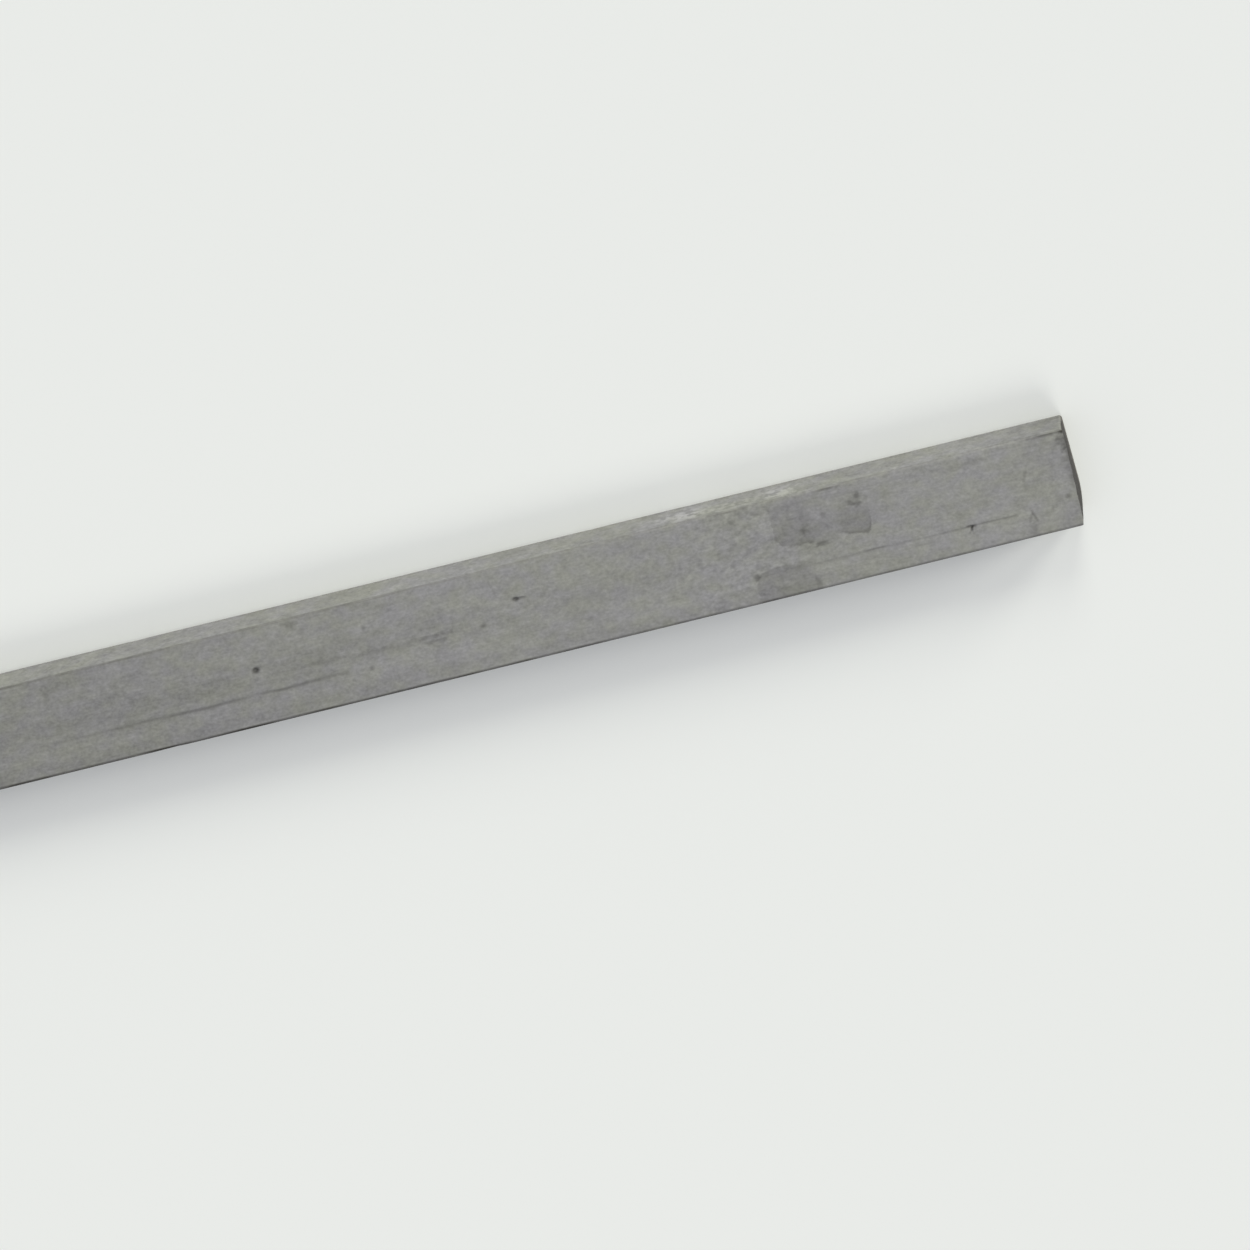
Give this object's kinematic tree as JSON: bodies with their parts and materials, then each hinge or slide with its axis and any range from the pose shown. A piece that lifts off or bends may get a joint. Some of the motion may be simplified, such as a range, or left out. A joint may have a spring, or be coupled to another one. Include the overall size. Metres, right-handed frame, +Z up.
{
  "type": "busbar",
  "caption": "Straight flat bar of tin-plated copper with rounded long edges, sawn square at one end and sheared at the other.",
  "frame": {"origin": "middle of the bar's length and width, on its underside, a wide face", "axes": "+X along the bar towards the sheared end, +Y across its width, +Z up out of the upper wide face"},
  "size_m": [0.9999, 0.03, 0.01],
  "materials": {
    "tinned_copper": "satin"
  },
  "bodies": {
    "root": {"busbar": "tinned_copper"}
  },
  "joints": []
}
